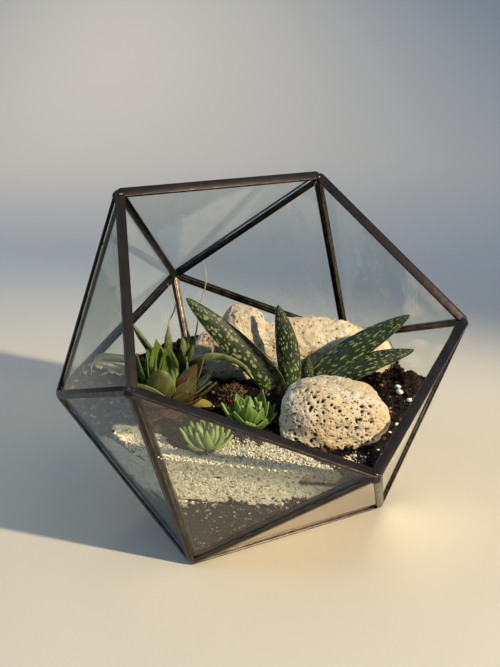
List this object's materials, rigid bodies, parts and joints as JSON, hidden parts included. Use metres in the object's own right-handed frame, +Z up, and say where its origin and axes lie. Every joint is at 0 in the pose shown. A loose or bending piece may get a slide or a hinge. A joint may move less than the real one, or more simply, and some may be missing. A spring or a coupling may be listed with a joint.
{
  "type": "glass plant terrarium",
  "caption": "Faceted glass vessel with one tilted open face and metal-stripped edges, planted with succulents and stones over soil, sand and grit.",
  "frame": {"origin": "middle of the floor triangle, in the plane of the table", "axes": "-Y towards the lowest corner of the opening, +Y towards the back, +Z up"},
  "size_m": [0.1618, 0.185, 0.1528],
  "materials": {
    "glass": "clear",
    "metal_strip": "patinated, satin",
    "grit": "loose grains",
    "sand": "loose grains",
    "soil": "loose, damp",
    "pumice": "porous",
    "limestone": "rough, pitted",
    "spotted_leaf": "waxy leaf",
    "rosette_leaf": "waxy leaf",
    "narrow_leaf": "waxy leaf",
    "bright_leaf": "waxy leaf",
    "pale_leaf": "waxy leaf",
    "moss": "dry tuft",
    "yellow_leaf": "waxy leaf"
  },
  "bodies": {
    "root": {"floor_pane": "glass", "base_pane_back_left": "glass", "base_pane_back_right": "glass", "side_pane_back_right": "glass", "side_pane_back_left": "glass", "base_pane_front": "glass", "side_pane_left": "glass", "side_pane_front_left": "glass", "side_pane_right": "glass", "side_pane_front_right": "glass", "rim_pane_back_right": "glass", "rim_pane_right": "glass", "rim_pane_back_left": "glass", "rim_pane_left": "glass", "rim_pane_back": "glass", "seam_floor_back_to_floor_left": "metal_strip", "seam_floor_back_to_floor_right": "metal_strip", "seam_floor_back_to_low_right": "metal_strip", "seam_floor_back_to_low_left": "metal_strip", "seam_floor_back_to_high_back": "metal_strip", "seam_floor_left_to_floor_right": "metal_strip", "seam_floor_left_to_low_left": "metal_strip", "seam_floor_left_to_rim_front": "metal_strip", "seam_floor_left_to_rim_left": "metal_strip", "seam_floor_right_to_low_right": "metal_strip", "seam_floor_right_to_rim_front": "metal_strip", "seam_floor_right_to_rim_right": "metal_strip", "seam_low_right_to_high_back": "metal_strip", "seam_low_right_to_rim_right": "metal_strip", "seam_low_right_to_rim_back_right": "metal_strip", "seam_low_left_to_high_back": "metal_strip", "seam_low_left_to_rim_left": "metal_strip", "seam_low_left_to_rim_back_left": "metal_strip", "rim_strip_front_to_left": "metal_strip", "rim_strip_front_to_right": "metal_strip", "seam_high_back_to_rim_back_right": "metal_strip", "seam_high_back_to_rim_back_left": "metal_strip", "rim_strip_left_to_back_left": "metal_strip", "rim_strip_right_to_back_right": "metal_strip", "rim_strip_back_right_to_back_left": "metal_strip", "front_stone": "pumice", "rear_stone": "limestone", "side_stone": "limestone", "left_stone": "limestone", "drainage_grit": "grit", "sand_layer": "sand", "potting_soil": "soil", "gasteria_leaf_left": "spotted_leaf", "gasteria_leaf_upright": "spotted_leaf", "gasteria_leaf_small": "spotted_leaf", "gasteria_leaf_right_upper": "spotted_leaf", "gasteria_leaf_right_lower": "spotted_leaf", "broad_rosette": "rosette_leaf", "narrow_leaf_plant": "narrow_leaf", "small_haworthia": "bright_leaf", "pale_haworthia": "pale_leaf", "dry_moss": "moss", "fallen_yellow_leaf": "yellow_leaf"}
  },
  "joints": []
}
